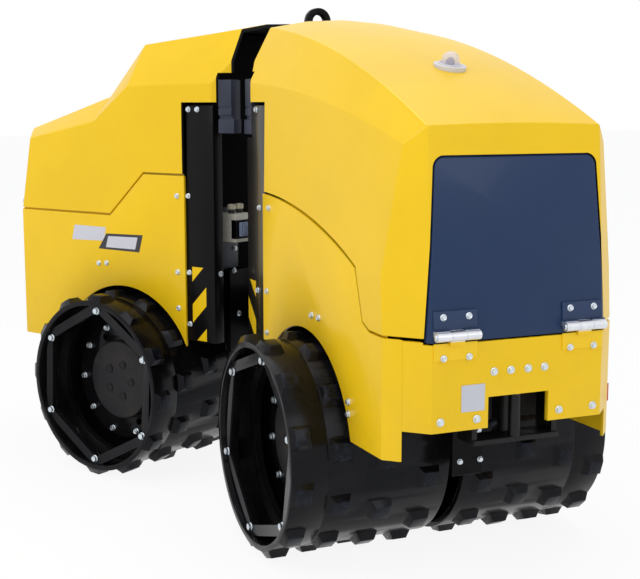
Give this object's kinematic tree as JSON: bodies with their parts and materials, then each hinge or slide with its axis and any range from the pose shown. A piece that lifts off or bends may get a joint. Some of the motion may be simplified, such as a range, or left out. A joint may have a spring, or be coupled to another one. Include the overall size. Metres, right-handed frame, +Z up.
{
  "type": "articulated vibratory roller",
  "caption": "Articulated trench roller: two hooded modules on a centre joint, each on a pair of padded drums, with tilting hoods and a lifting eye.",
  "frame": {"origin": "on the ground under the middle of the machine's overall box, as it stands steered to its right stop", "axes": "+X along the front module to its end cover, +Y to that module's left, +Z up"},
  "size_m": [2.0322, 1.1374, 1.3115],
  "materials": {
    "yellow_paint": "gloss",
    "black_paint": "gloss",
    "cover_paint": "satin",
    "drum_paint": "gloss",
    "zinc_plate": "satin",
    "chrome_rod": "polished",
    "dome_plastic": "gloss",
    "engine_metal": "matt"
  },
  "bodies": {
    "front_module": {"front_chassis": "black_paint", "front_side_panels": "yellow_paint", "front_bumper": "yellow_paint", "front_joint_cheeks": "black_paint", "front_latch_posts": "black_paint", "front_drum_carrier": "black_paint", "front_scrapers": "black_paint", "front_hinge_mounts": "zinc_plate", "front_engine": "engine_metal", "front_yoke": "black_paint", "lifting_eye": "black_paint", "front_cylinder_clevis": "black_paint"},
    "front_hood_body": {"front_hood": "yellow_paint", "front_hood_leaves": "zinc_plate", "front_hood_cover": "cover_paint", "receiver_dome": "dome_plastic"},
    "centre_joint": {"knuckle": "black_paint"},
    "rear_module": {"rear_chassis": "black_paint", "rear_side_panels": "yellow_paint", "rear_bumper": "yellow_paint", "rear_joint_cheeks": "black_paint", "rear_latch_posts": "black_paint", "rear_drum_carrier": "black_paint", "rear_scrapers": "black_paint", "rear_hinge_mounts": "zinc_plate", "rear_hydraulic_tank": "engine_metal", "rear_trunnion_housing": "black_paint", "valve_block": "zinc_plate"},
    "rear_hood_body": {"rear_hood": "yellow_paint", "rear_hood_leaves": "zinc_plate"},
    "cylinder_barrel": {"steering_barrel": "black_paint"},
    "cylinder_rod": {"steering_rod": "chrome_rod"},
    "front_left_drum_body": {"front_left_drum": "drum_paint", "front_left_drum_ring": "drum_paint", "front_left_hub_cover": "drum_paint"},
    "front_right_drum_body": {"front_right_drum": "drum_paint", "front_right_drum_ring": "drum_paint", "front_right_hub_cover": "drum_paint"},
    "rear_left_drum_body": {"rear_left_drum": "drum_paint", "rear_left_drum_ring": "drum_paint", "rear_left_hub_cover": "drum_paint"},
    "rear_right_drum_body": {"rear_right_drum": "drum_paint", "rear_right_drum_ring": "drum_paint", "rear_right_hub_cover": "drum_paint"}
  },
  "joints": [
    {"name": "steering", "type": "hinge", "parent": "front_module", "child": "centre_joint", "pos_m": [-0.00985, 0.15971, 0.4586], "axis": [0, 0, 1], "range_deg": [-58.9, 0]},
    {"name": "oscillation", "type": "hinge", "parent": "centre_joint", "child": "rear_module", "pos_m": [-0.00985, 0.15971, 0.4586], "axis": [0.8708, 0.4917, 0], "range_deg": [-6, 6]},
    {"name": "front_hood_opening", "type": "hinge", "parent": "front_module", "child": "front_hood_body", "pos_m": [1.00615, 0.15971, 0.5896], "axis": [0, 1, 0], "range_deg": [0, 60]},
    {"name": "rear_hood_opening", "type": "hinge", "parent": "rear_module", "child": "rear_hood_body", "pos_m": [-0.90763, -0.3472, 0.7486], "axis": [0.4917, -0.8708, 0], "range_deg": [0, 60]},
    {"name": "cylinder_swing", "type": "hinge", "parent": "front_module", "child": "cylinder_barrel", "pos_m": [0.19515, 0.28971, 0.4586], "axis": [0, 0, 1], "range_deg": [-20.57, 1]},
    {"name": "cylinder_stroke", "type": "slide", "parent": "cylinder_barrel", "child": "cylinder_rod", "axis": [-0.9791, -0.2034, 0], "range_m": [-0.13139, 0.003]},
    {"name": "front_left_drum_spin", "type": "hinge", "parent": "front_module", "child": "front_left_drum_body", "pos_m": [0.50315, 0.35971, 0.2606], "axis": [0, 1, 0], "continuous": true},
    {"name": "front_right_drum_spin", "type": "hinge", "parent": "front_module", "child": "front_right_drum_body", "pos_m": [0.50315, -0.04029, 0.2606], "axis": [0, 1, 0], "continuous": true},
    {"name": "rear_left_drum_spin", "type": "hinge", "parent": "rear_module", "child": "rear_left_drum_body", "pos_m": [-0.5549, 0.08164, 0.2606], "axis": [-0.4917, 0.8708, 0], "continuous": true},
    {"name": "rear_right_drum_spin", "type": "hinge", "parent": "rear_module", "child": "rear_right_drum_body", "pos_m": [-0.35823, -0.26667, 0.2606], "axis": [-0.4917, 0.8708, 0], "continuous": true}
  ],
  "couplings": [
    {"joint": "cylinder_swing", "follows": "steering", "ratio": 0.33222},
    {"joint": "cylinder_stroke", "follows": "steering", "m_per_rad": 0.12489}
  ]
}
